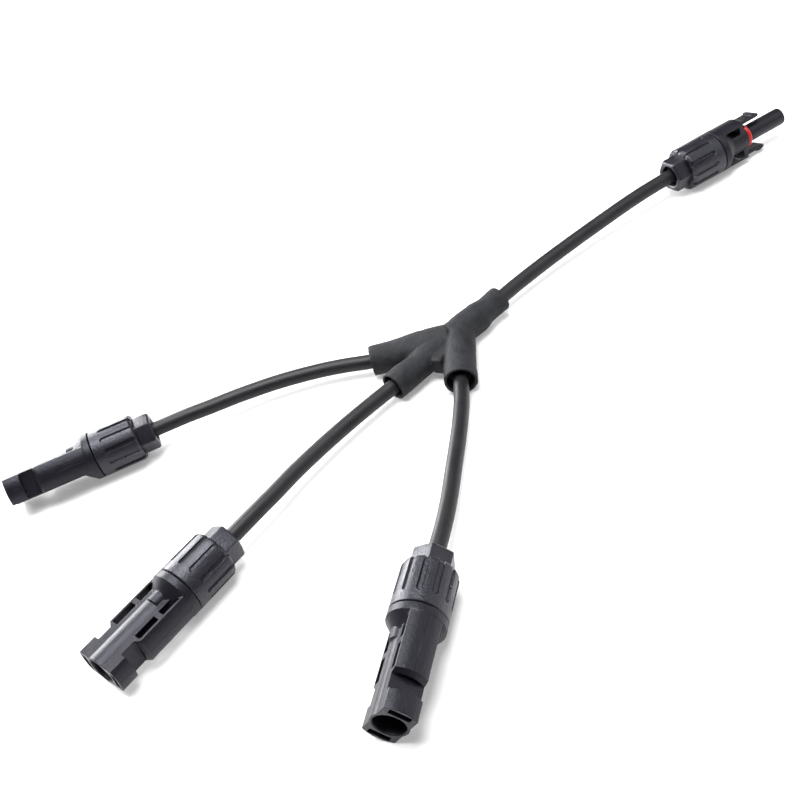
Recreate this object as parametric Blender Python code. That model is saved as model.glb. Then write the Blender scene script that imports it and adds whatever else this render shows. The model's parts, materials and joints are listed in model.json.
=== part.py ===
"""Three-way PV branch cable: a trunk with one latching plug, a moulded rubber
junction, and three branches that each end in a receptacle.

World frame: +X runs along the trunk towards the plug, +Z is up, and the cable
lies on z = 0. Every connector is modelled along its own +X axis, which points
the way it mates, with x = 0 at the rear face of its cap nut. Dimensions are in
millimetres and become metres when a mesh is placed.
"""
import math

import bmesh
import bpy
from mathutils import Matrix, Vector

MM = 0.001

# ---------------------------------------------------------------- layout (mm)
CENTRE = Vector((-3.52, 6.55, 0.0))    # moves the junction so that the box is centred
AXIS_HEIGHT = 9.5                     # connector axes: they rest on their nuts
BOOT_HEIGHT = 6.3                     # junction axes: the boot rests on its arms

# name: rear end of the axis (x, y), heading and roll in degrees, angle of the nut
CONNECTORS = {
    "left": ((-104.4, 68.4), 155.9, 33.0, 0.0),
    "middle": ((-121.3, -8.2), -171.5, -3.0, 0.0),
    "right": ((-85.3, -74.7), -147.5, 50.0, 0.0),
    "plug": ((127.3, -10.9), -14.4, 79.0, 6.0),
}

# name: root of the arm (x, y), heading in degrees, length, radius at root and mouth
BOOT_ARMS = {
    "left": ((-1.7, 1.8), 142.0, 32.0, 6.2, 6.0),
    "middle": ((0.0, 1.8), 180.0, 33.5, 5.7, 5.7),
    "right": ((4.0, 1.8), -134.5, 30.5, 6.0, 6.2),
    "plug": ((0.0, 1.8), 0.0, 28.6, 6.2, 5.3),
}

# free part of each cable from its boot arm to its connector: x, y, height
ROUTES = {
    "left": [(-34.0, 28.9, 6.5), (-42.2, 36.3, 6.8), (-56.1, 46.0, 7.5),
             (-70.9, 53.9, 8.2), (-83.6, 59.3, 8.9), (-91.9, 62.9, 9.4)],
    "middle": [(-42.0, 1.8, 6.5), (-55.0, 1.3, 7.0), (-70.5, 0.1, 7.6),
               (-86.4, -2.1, 8.4), (-99.0, -4.6, 9.0), (-108.5, -6.25, 9.4)],
    "right": [(-22.6, -25.4, 6.5), (-27.6, -30.2, 6.7), (-38.0, -39.3, 7.4),
              (-52.3, -50.8, 8.2), (-65.6, -61.4, 8.9), (-75.0, -68.2, 9.4)],
    "plug": [(40.3, 1.6, 6.5), (57.4, 0.5, 6.9), (75.0, -1.6, 7.6),
             (91.8, -4.1, 8.4), (106.0, -6.5, 9.1), (115.2, -8.3, 9.4)],
}

# ----------------------------------------------------------------- cable (mm)
CABLE_R = 3.0
CONDUCTOR_R = 1.3
JACKET_END = 22.6                     # jacket end inside a connector
ROUTE_STEP = 15.0                     # one point every two and a half diameters
JACKET_IN_BOOT = {"left": 12.0, "middle": 9.0, "right": 12.0, "plug": 16.0}

# ------------------------------------------------------------------- nut (mm)
NUT_LENGTH = 24.2
NUT_R = 9.5
NUT_BORE_R = 7.5
NUT_MOUTH_R = 4.5
HEX_LENGTH = 6.6
HEX_FLATS = 13.0
FLUTES = 12
FLUTE_DEPTH = 0.8
FLUTE_HALF_TOP = 6.2                  # degrees
FLUTE_HALF_FLOOR = 4.4                # degrees

# --------------------------------------------------------------- housing (mm)
GAP = 0.3                             # clearance between touching pieces
COLLAR_START = NUT_LENGTH + GAP
COLLAR_END = 27.2
COLLAR_R = 9.5
THREAD_START = 10.5
THREAD_R = 7.1
SEAL_BORE_R = 5.6
SEAL_BORE_END = 22.5
CHAMBER_R = 3.9
CHAMBER_END = 33.0
CONTACT_HOLE_R = 2.9
CONE_END = 32.4
CONE_END_R = 5.6
SIDE_R = 9.4                          # curved side walls
SIDE_WALL_INNER_R = 8.7
HALF_THICK = 5.3                      # flat panels
SPINE_R = 5.95                        # rounded spine along each panel
VOID_INNER_Y = 4.45
VOID_INNER_R = 5.6

RECEPTACLE_LENGTH = 60.0
BORE_R = 5.0
BORE_DEEP_R = 4.2
BORE_STEP = 53.0
PARTITION_END = 35.4
VOIDS_RECEPTACLE = ((29.0, 36.0), (38.1, 46.4))
CATCH_START = 48.2                    # side notches that the latch hooks snap into
CATCH_END = 53.5
CATCH_Y = 5.9
LIP_R = 7.9                           # bevelled front edge of each side wall
LIP_BEVEL = 1.4
PASSAGE_R = 7.7                       # way for the latch arm under that edge
SLOT_Y = (6.0, 8.3)
SLOT_HALF_Z = 3.45
BOSS_R = 3.0
BOSS_Z = 4.75
BOSS_X = (28.5, 34.7)

PLUG_FRONT = 38.8
VOIDS_PLUG = ((29.0, 36.8),)
SHOULDER_R = 5.3
SHOULDER_END = 40.9
NOSE_R = 3.85
NOSE_END = 62.9
NOSE_TIP_BORE_R = 2.25
GROOVE_END = 43.0
GROOVE_R = 3.45
NOSE_SLIT_X = (44.4, 48.2)
NOSE_SLIT_HALF = 0.35

LATCH_ROOT = PLUG_FRONT + GAP
LATCH_MID_Y = 7.15
LATCH_HALF_Z = 3.1
# side view of the upper latch arm: distance along the plug, distance from its axis
LATCH_OUTLINE = [(LATCH_ROOT, 6.4), (49.0, 6.5), (49.6, 7.2), (49.3, 7.9), (46.6, 9.0),
                 (46.2, 9.0), (46.2, 7.9), (LATCH_ROOT, 7.9)]

# ---------------------------------------------------------------- metal (mm)
BARREL_START = 23.2
BARREL_R = 2.4
BARREL_BORE_R = 1.6
BARREL_BORE_END = 30.5
FLANGE = (31.0, 32.2, 2.75)
SHAFT_R = 2.55
PIN_R = 1.95
PIN_END = 52.0
SOCKET_R = 2.6
SOCKET_BORE_R = 2.1
SOCKET_END = 60.8
FERRULE = (3.0, 13.0, 3.35, 4.0)
PIN_SEGMENTS = 10


# ================================================================== mesh tools
def clear_scene():
    for obj in list(bpy.data.objects):
        bpy.data.objects.remove(obj, do_unlink=True)
    for mesh in list(bpy.data.meshes):
        bpy.data.meshes.remove(mesh)


def finished_mesh(name, bm):
    """Mesh datablock from a bmesh, with its faces pointing out."""
    bmesh.ops.recalc_face_normals(bm, faces=bm.faces)
    mesh = bpy.data.meshes.new(name)
    bm.to_mesh(mesh)
    bm.free()
    return mesh


def ring_points(x, radii, angles):
    """Points of one cross-section in the plane at x."""
    return [Vector((x, r * math.cos(a), r * math.sin(a))) for r, a in zip(radii, angles)]


def lofted(name, rings, wrap=False):
    """Skin between rings of equal count: capped at both ends, or wrapped into a loop."""
    bm = bmesh.new()
    rows = [[bm.verts.new(p) for p in ring] for ring in rings]
    pairs = list(zip(rows, rows[1:]))
    if wrap:
        pairs.append((rows[-1], rows[0]))
    count = len(rows[0])
    for low, high in pairs:
        for i in range(count):
            j = (i + 1) % count
            bm.faces.new((low[i], low[j], high[j], high[i]))
    if not wrap:
        bm.faces.new(rows[0])
        bm.faces.new(rows[-1])
    return finished_mesh(name, bm)


def turned(name, profile, segments, wrap=False):
    """Turned body about +X from (x, radius) pairs."""
    angles = [2 * math.pi * i / segments for i in range(segments)]
    rings = [ring_points(x, [r] * segments, angles) for x, r in profile]
    return lofted(name, rings, wrap)


def prism(name, outline, start, end, axis="X"):
    """Outline extruded along X from (y, z) pairs, or along Z from (x, y) pairs."""
    if axis == "X":
        rings = [[Vector((d, a, b)) for a, b in outline] for d in (start, end)]
    else:
        rings = [[Vector((a, b, d)) for a, b in outline] for d in (start, end)]
    return lofted(name, rings)


def box(name, low, high):
    corners = [(low[1], low[2]), (high[1], low[2]), (high[1], high[2]), (low[1], high[2])]
    return prism(name, corners, low[0], high[0])


def joined(name, meshes, matrices=None):
    """Several meshes in one datablock, each moved by its matrix."""
    bm = bmesh.new()
    for i, mesh in enumerate(meshes):
        copy = mesh.copy()
        if matrices:
            copy.transform(matrices[i])
        bm.from_mesh(copy)
        bpy.data.meshes.remove(copy)
    mesh = bpy.data.meshes.new(name)
    bm.to_mesh(mesh)
    bm.free()
    return mesh


def carved(name, blank, steps):
    """Blank mesh after a chain of exact Booleans, given as (operation, mesh) pairs."""
    target = bpy.data.objects.new(name + "_blank", blank)
    bpy.context.scene.collection.objects.link(target)
    cutters = []
    for operation, mesh in steps:
        cutter = bpy.data.objects.new(name + "_cutter", mesh)
        cutter.hide_render = True
        cutter.display_type = "WIRE"
        bpy.context.scene.collection.objects.link(cutter)
        cutters.append(cutter)
        modifier = target.modifiers.new("carve", "BOOLEAN")
        modifier.operation = operation
        modifier.solver = "EXACT"
        modifier.object = cutter
    graph = bpy.context.evaluated_depsgraph_get()
    mesh = bpy.data.meshes.new_from_object(target.evaluated_get(graph))
    mesh.name = name
    for obj in cutters + [target]:
        bpy.data.objects.remove(obj, do_unlink=True)
    return mesh


def mirrored_y(mesh):
    """Copy of a mesh on the other side of the XZ plane."""
    bm = bmesh.new()
    bm.from_mesh(mesh)
    bmesh.ops.scale(bm, vec=(1, -1, 1), verts=bm.verts)
    return finished_mesh(mesh.name + "_mirrored", bm)


def arc(radius, start, end, count):
    """Points (y, z) on a circle about the connector's axis, angles in radians."""
    step = (end - start) / (count - 1)
    return [(radius * math.cos(start + step * i), radius * math.sin(start + step * i))
            for i in range(count)]


# ================================================================== materials
def material(name, colour, roughness, metallic=0.0):
    mat = bpy.data.materials.new(name)
    mat.use_nodes = True
    shader = mat.node_tree.nodes["Principled BSDF"]
    shader.inputs["Base Color"].default_value = (*colour, 1.0)
    shader.inputs["Roughness"].default_value = roughness
    shader.inputs["Metallic"].default_value = metallic
    mat.diffuse_color = (*colour, 1.0)
    return mat


# ================================================================== placing
def empty(name, location, rotation=(0.0, 0.0, 0.0), parent=None):
    obj = bpy.data.objects.new(name, None)
    obj.empty_display_size = 0.01
    obj.location = Vector(location) * MM
    obj.rotation_euler = [math.radians(angle) for angle in rotation]
    obj.parent = parent
    bpy.context.scene.collection.objects.link(obj)
    return obj


def piece(name, mesh, mat, parent, offset=(0.0, 0.0, 0.0), turn=0.0):
    """Named solid in metres under its parent; offset moves its origin onto its own joint,
    turn rotates it about the connector's axis."""
    own = mesh.copy()
    own.name = name
    own.transform(Matrix.Scale(MM, 4) @ Matrix.Translation(-Vector(offset)))
    own.materials.clear()
    own.materials.append(mat)
    own.shade_smooth()
    own.set_sharp_from_angle(angle=math.radians(32))
    obj = bpy.data.objects.new(name, own)
    obj.location = Vector(offset) * MM
    obj.rotation_euler = (math.radians(turn), 0.0, 0.0)
    obj.parent = parent
    bpy.context.scene.collection.objects.link(obj)
    return obj


# ================================================================== cap nut
def nut_ring(x, kind, size):
    """One cross-section of the nut: kind is hex, round or fluted."""
    radii = []
    angles = []
    for k in range(FLUTES):
        centre = 360.0 * k / FLUTES
        for offset in (-FLUTE_HALF_TOP, -FLUTE_HALF_FLOOR, FLUTE_HALF_FLOOR, FLUTE_HALF_TOP):
            angle = centre + offset
            radius = size
            if kind == "hex":
                from_flat = (angle + 30.0) % 60.0 - 30.0
                radius = size / 2 / math.cos(math.radians(from_flat))
            if kind == "fluted" and abs(offset) == FLUTE_HALF_FLOOR:
                radius = size - FLUTE_DEPTH
            radii.append(radius)
            angles.append(math.radians(angle))
    return ring_points(x, radii, angles)


def nut_mesh():
    blank = lofted("nut_blank", [
        nut_ring(0.0, "hex", HEX_FLATS - 1.2),
        nut_ring(0.6, "hex", HEX_FLATS),
        nut_ring(HEX_LENGTH, "hex", HEX_FLATS),
        nut_ring(HEX_LENGTH + 0.3, "round", NUT_R - 1.3),
        nut_ring(HEX_LENGTH + 1.6, "fluted", NUT_R - 0.4),
        nut_ring(NUT_LENGTH - 4.2, "fluted", NUT_R - 0.1),
        nut_ring(NUT_LENGTH - 3.9, "round", NUT_R),
        nut_ring(NUT_LENGTH, "round", NUT_R),
    ])
    bore = turned("nut_bore", [
        (-0.5, NUT_MOUTH_R + 1.0), (0.5, NUT_MOUTH_R), (2.4, NUT_MOUTH_R), (2.4, 4.9),
        (8.9, 7.1), (8.9, NUT_BORE_R), (NUT_LENGTH + 1.0, NUT_BORE_R)], 20)
    return carved("nut", blank, [("DIFFERENCE", bore)])


# ================================================================== collet and seal
def collet_mesh():
    """Clamping cage: six fingers that the nut's cone squeezes onto the cable."""
    blank = turned("collet_blank", [
        (3.0, 4.6), (8.7, 6.6), (9.9, 6.6), (9.9, 5.2), (14.2, 5.2), (14.2, 3.4), (3.0, 3.4)],
        16, wrap=True)
    slot = box("collet_slot", (2.0, -8.0, -0.45), (8.2, 8.0, 0.45))
    turns = [Matrix.Rotation(math.radians(60.0 * k + 10.0), 4, "X") for k in range(3)]
    cuts = []
    for turn in turns:
        cut = slot.copy()
        cut.transform(turn)
        cuts.append(("DIFFERENCE", cut))
    return carved("collet", blank, cuts)


def seal_mesh():
    return turned("seal", [
        (14.8, 5.25), (16.6, 5.25), (17.2, 4.75), (18.0, 4.75), (18.6, 5.25), (21.8, 5.25),
        (21.8, 3.4), (14.8, 3.4)], 14, wrap=True)


# ================================================================== contacts
def contact_rear():
    """Profile that both contacts share: crimp barrel, flange and shaft."""
    start, end, radius = FLANGE
    return [(BARREL_BORE_END, BARREL_BORE_R), (BARREL_START, BARREL_BORE_R),
            (BARREL_START, BARREL_R), (start, BARREL_R), (start, radius), (end, radius),
            (end, SHAFT_R)]


def pin_mesh():
    profile = contact_rear() + [(PARTITION_END + 0.2, SHAFT_R), (PARTITION_END + 0.8, PIN_R),
                                (PIN_END - 1.6, PIN_R), (PIN_END - 0.4, 1.2), (PIN_END, 0.6)]
    return turned("pin", profile, PIN_SEGMENTS)


def socket_mesh():
    profile = contact_rear() + [(43.0, SHAFT_R), (43.4, SOCKET_R), (SOCKET_END, SOCKET_R),
                                (SOCKET_END, SOCKET_BORE_R), (44.5, SOCKET_BORE_R)]
    blank = turned("socket_blank", profile, PIN_SEGMENTS)
    slit = box("socket_slit", (52.0, -4.0, -0.2), (SOCKET_END + 1.0, 4.0, 0.2))
    crossed = slit.copy()
    crossed.transform(Matrix.Rotation(math.radians(90.0), 4, "X"))
    return carved("socket", blank, [("DIFFERENCE", slit), ("DIFFERENCE", crossed)])


def clip_mesh():
    """Split spring ring that locks the contact behind the chamber wall."""
    blank = turned("clip_blank", [
        (26.0, 3.15), (29.6, 3.6), (30.4, 3.2), (30.4, 2.75), (26.0, 2.75)],
        PIN_SEGMENTS, wrap=True)
    slit = box("clip_slit", (25.0, 1.0, -0.5), (31.0, 5.0, 0.5))
    return carved("clip", blank, [("DIFFERENCE", slit)])


def conductor_mesh():
    return turned("conductor", [(JACKET_END + GAP, CONDUCTOR_R),
                                (BARREL_BORE_END - GAP, CONDUCTOR_R)], 10)


# ================================================================== housings
def slab_outline():
    """Section between two flat panels with a low round spine and two curved side walls."""
    corner = math.asin(HALF_THICK / SIDE_R)
    ridge = math.asin(HALF_THICK / SPINE_R)
    points = arc(SIDE_R, -corner, corner, 7)
    points += arc(SPINE_R, ridge, math.pi - ridge, 5)
    points += arc(SIDE_R, math.pi - corner, math.pi + corner, 7)
    points += arc(SPINE_R, math.pi + ridge, 2 * math.pi - ridge, 5)
    return points


def void_meshes(spans):
    """Spaces behind both side walls, open through both flat panels."""
    outer = math.acos(VOID_INNER_Y / SIDE_WALL_INNER_R)
    inner = math.acos(VOID_INNER_Y / VOID_INNER_R)
    outline = arc(SIDE_WALL_INNER_R, -outer, outer, 9) + arc(VOID_INNER_R, inner, -inner, 5)
    cutters = []
    for start, end in spans:
        right = prism("void", outline, start, end)
        cutters += [right, mirrored_y(right)]
    return joined("voids", cutters)


def rear_core(name):
    """Threaded rear tube, collar and the cone that runs down to the panels."""
    return turned(name, [
        (THREAD_START, THREAD_R - 0.4), (THREAD_START + 0.4, THREAD_R), (COLLAR_START, THREAD_R),
        (COLLAR_START, COLLAR_R), (COLLAR_END, COLLAR_R), (CONE_END, CONE_END_R)], 28)


def receptacle_mesh():
    blank = prism("receptacle_blank", slab_outline(), COLLAR_END - 0.7, RECEPTACLE_LENGTH)
    bevel = turned("bevel", [
        (CATCH_START - LIP_BEVEL, SIDE_R + 0.1), (CATCH_START - LIP_BEVEL, SIDE_R + 2.0),
        (CATCH_END - 1.0, SIDE_R + 2.0), (CATCH_END - 1.0, LIP_R), (CATCH_START, LIP_R)],
        28, wrap=True)
    catch = box("catch", (CATCH_START, CATCH_Y, -HALF_THICK - 1.0),
                (CATCH_END, SIDE_R + 1.0, HALF_THICK + 1.0))
    half = math.acos(SLOT_Y[0] / PASSAGE_R)
    passage = prism("passage", arc(PASSAGE_R, -half, half, 9), VOIDS_RECEPTACLE[1][1] - 0.5,
                    CATCH_START + 0.5)
    slot = box("slot", (CATCH_END - 0.5, SLOT_Y[0], -SLOT_HALF_Z),
               (RECEPTACLE_LENGTH + 1.0, SLOT_Y[1], SLOT_HALF_Z))
    latch_way = [("DIFFERENCE", joined(mesh.name + "_pair", [mesh, mirrored_y(mesh)]))
                 for mesh in (passage, catch, slot)]
    boss = turned("boss", [(BOSS_X[0], BOSS_R), (BOSS_X[1], BOSS_R)], 16)
    boss.transform(Matrix.Translation((0, 0, BOSS_Z)))
    bore = turned("receptacle_bore", [
        (THREAD_START - 1.0, SEAL_BORE_R), (SEAL_BORE_END, SEAL_BORE_R),
        (SEAL_BORE_END, CHAMBER_R), (CHAMBER_END, CHAMBER_R), (CHAMBER_END, CONTACT_HOLE_R),
        (PARTITION_END, CONTACT_HOLE_R), (PARTITION_END, BORE_DEEP_R), (BORE_STEP, BORE_DEEP_R),
        (BORE_STEP + 0.8, BORE_R), (RECEPTACLE_LENGTH + 1.0, BORE_R)], 20)
    return carved("receptacle", blank, [
        ("DIFFERENCE", bevel), ("DIFFERENCE", void_meshes(VOIDS_RECEPTACLE))] + latch_way + [
        ("UNION", rear_core("receptacle_core")), ("UNION", boss), ("DIFFERENCE", bore)])


def plug_mesh():
    blank = prism("plug_blank", slab_outline(), COLLAR_END - 0.7, PLUG_FRONT)
    nose = turned("nose", [
        (PLUG_FRONT - 1.0, SHOULDER_R), (SHOULDER_END, SHOULDER_R), (SHOULDER_END, GROOVE_R),
        (GROOVE_END, GROOVE_R), (GROOVE_END, NOSE_R), (NOSE_END - 0.4, NOSE_R),
        (NOSE_END, NOSE_R - 0.4)], 20)
    bore = turned("plug_bore", [
        (THREAD_START - 1.0, SEAL_BORE_R), (SEAL_BORE_END, SEAL_BORE_R),
        (SEAL_BORE_END, CHAMBER_R), (CHAMBER_END, CHAMBER_R), (CHAMBER_END, CONTACT_HOLE_R),
        (NOSE_END - 1.1, CONTACT_HOLE_R), (NOSE_END - 1.1, NOSE_TIP_BORE_R),
        (NOSE_END + 1.0, NOSE_TIP_BORE_R)], 20)
    slit = box("nose_slit", (NOSE_SLIT_X[0], 2.0, -NOSE_SLIT_HALF),
               (NOSE_SLIT_X[1], 5.0, NOSE_SLIT_HALF))
    slits = joined("nose_slits", [slit, mirrored_y(slit)])
    return carved("plug", blank, [
        ("DIFFERENCE", void_meshes(VOIDS_PLUG)), ("UNION", rear_core("plug_core")),
        ("UNION", nose), ("DIFFERENCE", bore), ("DIFFERENCE", slits)])


def o_ring_mesh():
    minor = 0.75
    major = GROOVE_R + GAP + minor
    centre = (SHOULDER_END + GROOVE_END) / 2
    turns = [2 * math.pi * i / 6 for i in range(6)]
    profile = [(centre + minor * math.cos(a), major + minor * math.sin(a)) for a in turns]
    return turned("o_ring", profile, 20, wrap=True)


def latch_mesh():
    return prism("latch", LATCH_OUTLINE, -LATCH_HALF_Z, LATCH_HALF_Z, axis="Z")


# ================================================================== connectors
def connector_frame(name, layout):
    (x, y), heading, roll, _ = CONNECTORS[name]
    return empty(name + "_frame", (x, y, AXIS_HEIGHT), (roll, 0.0, heading), layout)


def common_pieces(name, frame, shapes, mats):
    """Pieces that every connector has."""
    piece(name + "_nut", shapes["nut"], mats["plastic"], frame, turn=CONNECTORS[name][3])
    piece(name + "_collet", shapes["collet"], mats["cage"], frame)
    piece(name + "_seal", shapes["seal"], mats["seal"], frame)
    piece(name + "_clip", shapes["clip"], mats["steel"], frame)
    piece(name + "_conductor", shapes["conductor"], mats["copper"], frame)


def receptacle(name, layout, shapes, mats):
    frame = connector_frame(name, layout)
    piece(name + "_housing", shapes["receptacle"], mats["plastic"], frame)
    piece(name + "_pin", shapes["pin"], mats["contact"], frame)
    common_pieces(name, frame, shapes, mats)


def plug(layout, shapes, mats):
    frame = connector_frame("plug", layout)
    piece("plug_housing", shapes["plug"], mats["plastic"], frame)
    piece("plug_socket", shapes["socket"], mats["contact"], frame)
    piece("plug_o_ring", shapes["o_ring"], mats["red"], frame)
    latch = shapes["latch"]
    root = (LATCH_ROOT, LATCH_MID_Y, 0.0)
    piece("plug_latch_a", latch, mats["plastic"], frame, root)
    root = (LATCH_ROOT, -LATCH_MID_Y, 0.0)
    piece("plug_latch_b", mirrored_y(latch), mats["plastic"], frame, root)
    common_pieces("plug", frame, shapes, mats)


# ================================================================== junction
def arm_direction(name):
    heading = math.radians(BOOT_ARMS[name][1])
    return Vector((math.cos(heading), math.sin(heading), 0.0))


def arm_point(name, distance):
    """Point on an arm's axis, counted from its root."""
    x, y = BOOT_ARMS[name][0]
    return Vector((x, y, BOOT_HEIGHT)) + arm_direction(name) * distance


def along_arm(name, mesh):
    """Mesh modelled on +X, moved onto an arm."""
    x, y = BOOT_ARMS[name][0]
    heading = math.radians(BOOT_ARMS[name][1])
    mesh.transform(Matrix.Translation((x, y, BOOT_HEIGHT)) @ Matrix.Rotation(heading, 4, "Z"))
    return mesh


def boot_arm(name):
    _, _, length, root_r, mouth_r = BOOT_ARMS[name]
    return along_arm(name, turned("arm", [
        (-3.0, root_r), (length * 0.55, root_r), (length * 0.7, mouth_r), (length, mouth_r)], 18))


def boot_bore(name):
    _, _, length, _, mouth_r = BOOT_ARMS[name]
    wall = 1.0
    narrow = CABLE_R + 0.35
    return along_arm(name, turned("arm_bore", [
        (0.0, narrow), (length - 7.0, narrow), (length - 6.0, mouth_r - wall),
        (length + 1.0, mouth_r - wall)], 14))


def web(side):
    """Thin web in the crotch between the middle arm and a side arm."""
    half = 1.6
    corners = [arm_point("middle", 0.0), arm_point("middle", 19.0), arm_point(side, 18.0)]
    outline = [(point.x, point.y) for point in corners]
    return prism("web", outline, BOOT_HEIGHT - half, BOOT_HEIGHT + half, axis="Z")


def boot_mesh():
    unions = [("UNION", boot_arm(name)) for name in ("left", "right", "plug")]
    unions += [("UNION", web(side)) for side in ("left", "right")]
    pocket = turned("pocket", [(-4.0, 4.4), (14.0, 4.4)], 16)
    cuts = [("DIFFERENCE", along_arm("plug", pocket))]
    cuts += [("DIFFERENCE", boot_bore(name)) for name in BOOT_ARMS]
    return carved("boot", boot_arm("middle"), unions + cuts)


def ferrule_mesh():
    start, end, inner, outer = FERRULE
    return along_arm("plug", turned("ferrule", [
        (start, outer), (end, outer), (end, inner), (start, inner)], 16, wrap=True))


# bare strands between a jacket and the ferrule, from the root of the trunk arm: x, y, z
SPLICE_ROUTES = {
    "left": [(-11.0, 7.3, -0.1), (-7.0, 4.1, -0.3), (-3.6, 2.2, -0.7), (0.0, 1.55, -0.88),
             (7.4, 1.52, -0.88)],
    "middle": [(-8.7, 0.0, 0.0), (-5.0, 0.0, 0.5), (-1.0, 0.0, 1.5), (2.0, 0.0, 1.75),
               (7.4, 0.0, 1.75)],
    "right": [(-4.2, -8.35, -0.1), (-1.8, -5.9, -0.3), (0.2, -3.8, -0.6), (1.7, -2.2, -0.8),
              (3.2, -1.6, -0.88), (7.4, -1.52, -0.88)],
    "plug": [(15.7, 0.0, 0.0), (8.2, 0.0, 0.0)],
}


# ================================================================== cables
def smooth_curve(points, samples=12):
    """Centripetal Catmull-Rom curve through the points."""
    path = [points[0] * 2 - points[1]] + list(points) + [points[-1] * 2 - points[-2]]
    curve = []
    for a, b, c, d in zip(path, path[1:], path[2:], path[3:]):
        knots = [0.0]
        for start, end in ((a, b), (b, c), (c, d)):
            knots.append(knots[-1] + math.sqrt((end - start).length))
        for i in range(samples):
            t = knots[1] + (knots[2] - knots[1]) * i / samples
            curve.append(spline_point((a, b, c, d), knots, t))
    curve.append(points[-1])
    return curve


def spline_point(corners, knots, t):
    """Barry and Goldman's pyramid of blends for one span of the curve."""
    spans = [[(0, 1), (1, 2), (2, 3)], [(0, 2), (1, 3)], [(1, 2)]]
    level = list(corners)
    for row in spans:
        merged = []
        for i, (low, high) in enumerate(row):
            blend = (t - knots[low]) / (knots[high] - knots[low])
            merged.append(level[i].lerp(level[i + 1], blend))
        level = merged
    return level[0]


def evenly_spaced(curve, step):
    """Points a constant distance apart along a dense polyline, ends included."""
    lengths = [0.0]
    for start, end in zip(curve, curve[1:]):
        lengths.append(lengths[-1] + (end - start).length)
    count = max(2, round(lengths[-1] / step))
    points = []
    index = 0
    for k in range(count + 1):
        target = lengths[-1] * k / count
        while index < len(curve) - 2 and lengths[index + 1] < target:
            index += 1
        span = lengths[index + 1] - lengths[index]
        points.append(curve[index].lerp(curve[index + 1], (target - lengths[index]) / span))
    return points


def tube(name, points, radius, mat, parent, resolution):
    """Round tube on a poly spline, with filled ends."""
    data = bpy.data.curves.new(name, "CURVE")
    data.dimensions = "3D"
    data.bevel_depth = radius * MM
    data.bevel_resolution = resolution
    data.use_fill_caps = True
    spline = data.splines.new("POLY")
    spline.points.add(len(points) - 1)
    for target, point in zip(spline.points, points):
        target.co = (*(point * MM), 1.0)
    data.materials.append(mat)
    obj = bpy.data.objects.new(name, data)
    obj.parent = parent
    bpy.context.scene.collection.objects.link(obj)
    return obj


def connector_point(name, distance):
    """Point on a connector's axis, counted from the rear face of its nut."""
    (x, y), heading, _, _ = CONNECTORS[name]
    angle = math.radians(heading)
    return Vector((x + math.cos(angle) * distance, y + math.sin(angle) * distance, AXIS_HEIGHT))


def cable(name, label, layout, mats):
    """Jacketed cable from inside the boot to inside its connector."""
    mouth = BOOT_ARMS[name][2]
    inner = JACKET_IN_BOOT[name]
    route = [arm_point(name, inner), arm_point(name, (inner + mouth) / 2), arm_point(name, mouth)]
    route += [Vector(point) for point in ROUTES[name]]
    route += [connector_point(name, 0.0), connector_point(name, JACKET_END / 2),
              connector_point(name, JACKET_END)]
    points = evenly_spaced(smooth_curve(route), ROUTE_STEP)
    tube(label, points, CABLE_R, mats["jacket"], layout, 3)


def splice(name, layout, mats):
    root = arm_point("plug", 0.0)
    points = [root + Vector(offset) for offset in SPLICE_ROUTES[name]]
    if len(points) > 2:
        points = evenly_spaced(smooth_curve(points), 2.5)
    tube(name + "_splice_strand", points, CONDUCTOR_R, mats["copper"], layout, 2)


# ================================================================== build
def build():
    clear_scene()
    mats = {
        "plastic": material("black_plastic", (0.022, 0.022, 0.026), 0.42),
        "cage": material("cage_plastic", (0.05, 0.05, 0.055), 0.5),
        "jacket": material("cable_jacket", (0.016, 0.016, 0.018), 0.5),
        "boot": material("boot_rubber", (0.035, 0.036, 0.04), 0.75),
        "seal": material("seal_rubber", (0.02, 0.02, 0.02), 0.7),
        "red": material("red_silicone", (0.75, 0.02, 0.01), 0.3),
        "contact": material("tinned_contact", (0.72, 0.72, 0.7), 0.25, 1.0),
        "steel": material("spring_steel", (0.6, 0.6, 0.6), 0.3, 1.0),
        "copper": material("tinned_copper", (0.75, 0.62, 0.5), 0.35, 1.0),
    }
    shapes = {
        "nut": nut_mesh(),
        "collet": collet_mesh(),
        "seal": seal_mesh(),
        "clip": clip_mesh(),
        "conductor": conductor_mesh(),
        "pin": pin_mesh(),
        "socket": socket_mesh(),
        "receptacle": receptacle_mesh(),
        "plug": plug_mesh(),
        "o_ring": o_ring_mesh(),
        "latch": latch_mesh(),
    }
    layout = empty("layout", CENTRE)
    for name in ("left", "middle", "right"):
        receptacle(name, layout, shapes, mats)
    plug(layout, shapes, mats)
    piece("junction_boot", boot_mesh(), mats["boot"], layout)
    piece("splice_ferrule", ferrule_mesh(), mats["contact"], layout)
    for name in BOOT_ARMS:
        label = "trunk_cable" if name == "plug" else name + "_cable"
        cable(name, label, layout, mats)
        splice(name, layout, mats)


build()
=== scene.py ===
"""Looks of the three-way PV branch cable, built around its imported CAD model.

Shapes are modelled in millimetres, each connector along its own +X axis with x = 0 at
the rear face of its cap nut, and are placed on the CAD bodies in metres.
"""
import json
import math

import bmesh
import bpy
from mathutils import Matrix, Vector, noise


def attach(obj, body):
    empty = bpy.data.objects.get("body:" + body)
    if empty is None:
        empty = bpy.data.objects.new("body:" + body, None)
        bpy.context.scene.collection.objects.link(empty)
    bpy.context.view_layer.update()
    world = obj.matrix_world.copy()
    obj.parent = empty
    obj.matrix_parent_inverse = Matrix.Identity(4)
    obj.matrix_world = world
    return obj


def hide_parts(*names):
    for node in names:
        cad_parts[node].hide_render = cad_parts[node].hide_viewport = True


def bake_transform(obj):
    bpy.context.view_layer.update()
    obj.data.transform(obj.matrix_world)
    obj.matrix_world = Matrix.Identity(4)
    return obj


MM = 0.001
RECEPTACLES = ("left", "middle", "right")
CONNECTORS = RECEPTACLES + ("plug",)

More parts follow.
